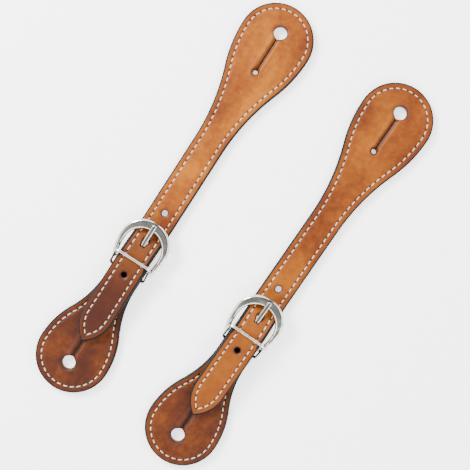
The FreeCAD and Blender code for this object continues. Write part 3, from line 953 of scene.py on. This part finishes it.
def fold_place(travel):
    """Place and heading of the top leather's inner face, along it from the round end."""
    if travel <= fold_end:
        return top_path.at(travel)
    back = travel - fold_end
    slant = math.atan2(climb - fold_foot, -LINING_FRONT)
    if back < -LINING_FRONT:
        return Vector((-back, fold_foot + back * math.tan(slant))), math.pi - slant
    height = climb - (back + LINING_FRONT) * math.tan(ramp)
    return Vector((-back, max(height, RETURN_LEAST_HEIGHT))), math.pi + ramp


def pared(travel):
    """The top leather's thickness: pared for the fold, and to nothing at its hidden end."""
    if travel > fold_end:
        return max(SKIVED_LEAST, fold_place(travel)[0].y - SKIVED_GAP)
    share = min(1.0, max(0.0, (travel - PARE_START) / -PARE_START))
    return TOP_THICKNESS + (FOLD_THICKNESS - TOP_THICKNESS) * share


def short_inset(x, travel):
    y = fold_place(travel)[0].x
    return edge_distance(short_finder, short_outline, x, y)


def short_relief(x, travel, inset):
    if travel > LINING_FRONT:
        channel = hollow(inset - STITCH_INSET, CHANNEL_HALF)
        return CHANNEL_DEPTH * FOLD_CHANNEL_SHARE * channel, 0.0
    return relief(x, travel, inset, short_hole_y, 1, (), short_awl_finder)


def short_top_face(x, travel):
    inset = short_inset(x, travel)
    thickness = pared(travel)
    fall = rolled(inset, min(EDGE_ROUND, thickness * EDGE_ROUND_SHARE))
    depth = min(short_relief(x, travel, inset)[0], thickness * PRESSED_SHARE)
    return thickness - depth - fall


def short_top_under(x, travel):
    seam_round = min(SEAM_ROUND, pared(travel) * SEAM_ROUND_SHARE)
    return SEAM_GAP + rolled(short_inset(x, travel), seam_round)


def short_bend(flat):
    place, heading = fold_place(flat.y)
    return Vector((flat.x, place.x - flat.z * math.sin(heading),
                   place.y + flat.z * math.cos(heading)))


def short_paint(x, travel):
    inset = short_inset(x, travel)
    # On the fold round the bar the black is painted wider, as shade inside the buckle.
    dye = edge_dye_and_shade(inset, BUCKLE_SHADE_WIDTH * faded(PARE_START - travel, 0.0, FOLD_SHADE_FADE))
    return dye, short_relief(x, travel, inset)[1], 0.0, faded(inset, 0.0, RUB_REACH)


short_rows = [(point.y, point.x) for point in short_outline if point.y < LINING_FRONT]
travel = LINING_FRONT
while travel < fold_end - SKIVE_END:
    short_rows.append((travel, short_half_width(fold_place(travel)[0].x)))
    travel += FOLD_STEP
short_rows.append((fold_end - SKIVE_END, short_half_width(SKIVE_END)))
lining_path = Path(((PATH_START, 0.0, 0.0), (RAMP_START, 0.0, RAMP_BEND),
                    (0.0, -RAMP_START * math.tan(ramp), 0.0)))
lining_rows = [row for row in short_rows if row[0] <= LINING_FRONT]


def plan_inset(x, y):
    return edge_distance(short_finder, short_outline, x, y)


def short_lining_face(x, y):
    return LINING_THICKNESS - SEAM_GAP - rolled(plan_inset(x, y), SEAM_ROUND)


def short_lining_under(x, y):
    return lining_under(plan_inset(x, y))


def short_lining_paint(x, y):
    return edge_dye_and_shade(plan_inset(x, y)), 0.0, 0.0, 0.0


russet_leather = leather("russet_leather", light=(0.11, 0.025, 0.0002),
                         mid=(0.058, 0.0105, 0.0001), dark=(0.03, 0.0042, 0.0001),
                         tail_tone=(0.1, 0.02, 0.005), tail_share=0.0)


def flat_bottom(flat):
    """Stitches under the short strap stay in the flat of its lining."""
    return flat.copy()


for side in SIDES:
    short_punches = [keyhole_cutter(short_hole_y, 1, SLIT_HALF),
                     slot_cutter(SLOT_BACK + SLOT_HALF, SLOT_HALF,
                                 fold_end - SLOT_BACK - SLOT_HALF, SLOT_HALF, SLOT_HALF)]
    layer = punched(blank(short_rows, short_top_under, short_top_face), short_punches)
    show(painted_and_bent(layer, short_paint, short_bend), "short_strap_top", side,
         "short_strap", "short_strap_leather", "russet_leather", russet_leather)
    layer = punched(blank(lining_rows, short_lining_under, short_lining_face),
                    [keyhole_cutter(short_hole_y, 1, KNIFE_CUT_HALF)])
    show(painted_and_bent(layer, short_lining_paint, lining_path.bend), "short_strap_back",
         side, "short_strap", "short_strap_lining", "lining_leather", lining_leather)
    top_height = TOP_THICKNESS - CHANNEL_DEPTH + STITCH_RIDE
    rows = sew(bmesh.new(), short_stitches, top_height, short_bend)
    rows = sew(rows, short_stitches, LOW_STITCH_HEIGHT, flat_bottom, below=True)
    show(rows, "short_strap_stitches", side, "short_strap", "short_strap_thread", "thread",
         ivory_thread)
    tack = sew(bmesh.new(), tack_stitches, top_height, short_bend, both_halves=False)
    tack = sew(tack, tack_stitches, LOW_STITCH_HEIGHT, flat_bottom, below=True,
               both_halves=False)
    show(tack, "tack_stitches", side, "short_strap", "chape_tack", "thread", ivory_thread)


# Metal: the horseshoe buckle frame with its bar, the tongue and the wire keeper keep the
# shapes they were cast and bent to, in polished nickel plate with faint handling marks.
def nickel():
    """Bright plate over a cast and wire surface, smeared and finely scratched."""
    finish = Finish("polished_nickel")
    smear = finish.noise(160.0, 4.0, 0.6)
    waver = finish.noise(110.0, 1.0, 0.4)
    scratches = finish.noise(900.0, 3.0, 0.6, finish.stretched(0.08))
    tint = finish.mix(smear.over(0.38, 0.66), (0.74, 0.73, 0.68, 1.0), (0.42, 0.41, 0.36, 1.0))
    cast = finish.bump(waver, 0.0005, 0.35)
    return finish.surface(Base_Color=tint, Metallic=1.0,
                          Roughness=0.07 + 0.10 * smear.over(0.42, 0.75) + 0.04 * scratches,
                          Normal=finish.bump(scratches, 0.00002, 0.15, cast))


polished_nickel = nickel()
for side in SIDES:
    for name in ("buckle_frame", "buckle_tongue", "keeper_loop"):
        metal = frame["nodes"][side + "_" + name]
        metal.data.materials.clear()
        metal.data.materials.append(polished_nickel)

# The surface that the pair lies on, the studio's light and the camera straight above.
FLOOR_REACH = 3.0
FLOOR_GLOW = 1.2
FLOOR_DROP = 0.0002
floor_bm = bmesh.new()
bmesh.ops.create_grid(floor_bm, x_segments=1, y_segments=1, size=FLOOR_REACH)
floor_mesh = bpy.data.meshes.new("floor")
floor_bm.to_mesh(floor_mesh)
floor_bm.free()
floor = bpy.data.objects.new("floor", floor_mesh)
floor.location.z = -FLOOR_DROP
bpy.context.scene.collection.objects.link(floor)
paper = Finish("white_paper")
floor.data.materials.append(paper.surface(Base_Color=(0.95, 0.95, 0.95, 1.0), Roughness=0.9,
                                         Emission_Color=(1.0, 1.0, 1.0, 1.0),
                                         Emission_Strength=FLOOR_GLOW))

world = bpy.data.worlds.new("studio")
bpy.context.scene.world = world
world.use_nodes = True
sky = world.node_tree
SKY_BRIGHTNESS = 5.2
SKY_STOPS = ((0.0, 0.02), (0.22, 0.04), (0.36, 0.35), (0.5, 1.0), (0.78, 1.0), (0.86, 0.06),
             (1.0, 0.008))
direction = sky.nodes.new("ShaderNodeTexCoord")
split = sky.nodes.new("ShaderNodeSeparateXYZ")
ramp_node = sky.nodes.new("ShaderNodeValToRGB")
while len(ramp_node.color_ramp.elements) < len(SKY_STOPS):
    ramp_node.color_ramp.elements.new(0.5)
for element, (height, level) in zip(ramp_node.color_ramp.elements, SKY_STOPS):
    element.position = height
    element.color = (level, level, level, 1.0)
sky.links.new(direction.outputs["Generated"], split.inputs[0])
sky.links.new(split.outputs["Z"], ramp_node.inputs[0])
sky.links.new(ramp_node.outputs[0], sky.nodes["Background"].inputs["Color"])
sky.nodes["Background"].inputs["Strength"].default_value = SKY_BRIGHTNESS


def soft_light(name, place, size, power):
    """A round lamp with a diffuser, aimed at the middle of the table."""
    data = bpy.data.lights.new(name, "AREA")
    data.shape = "DISK"
    data.size = size
    data.energy = power
    lamp = bpy.data.objects.new(name, data)
    bpy.context.scene.collection.objects.link(lamp)
    lamp.location = place
    lamp.rotation_euler = (-Vector(place)).to_track_quat("-Z", "Y").to_euler()


soft_light("key", place=(-0.75, 0.15, 0.6), size=0.35, power=22.0)
soft_light("fill", place=(0.7, -0.5, 0.8), size=0.9, power=4.0)

CAMERA_HEIGHT = 0.5
FIELD_WIDTH = 0.275
FIELD_CENTRE = (0.00125, 0.0014)
PICTURE_TURN = math.radians(33.73)
SENSOR = 36.0
camera_data = bpy.data.cameras.new("camera")
camera_data.sensor_width = SENSOR
camera_data.lens = SENSOR * CAMERA_HEIGHT / FIELD_WIDTH
camera = bpy.data.objects.new("camera", camera_data)
bpy.context.scene.collection.objects.link(camera)
camera.location = (*FIELD_CENTRE, CAMERA_HEIGHT)
camera.rotation_euler = (0.0, 0.0, PICTURE_TURN)
bpy.context.scene.camera = camera
